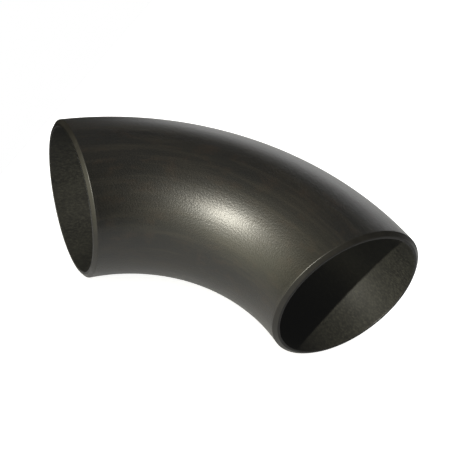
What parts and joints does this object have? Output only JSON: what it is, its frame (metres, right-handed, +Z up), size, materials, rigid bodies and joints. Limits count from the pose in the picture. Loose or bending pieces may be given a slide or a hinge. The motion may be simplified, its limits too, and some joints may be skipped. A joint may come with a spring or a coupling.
{
  "type": "butt weld pipe elbow",
  "caption": "Seamless long radius quarter-turn pipe elbow in black carbon steel, with plain round ends bevelled for butt welding.",
  "frame": {"origin": "bottom centre of the box of the elbow as it lies on its side, on the surface that it lies on", "axes": "+Z up, along the axis that the pipe is bent about; weld end A faces -X and weld end B faces -Y, so the outside of the bend faces +X and +Y"},
  "size_m": [0.1587, 0.1587, 0.0889],
  "materials": {
    "black_steel": "carbon steel under a thin dark varnish, satin with a soft sheen, slightly brown where the film is thin"
  },
  "bodies": {
    "root": {"elbow_body": "black_steel"}
  },
  "joints": []
}
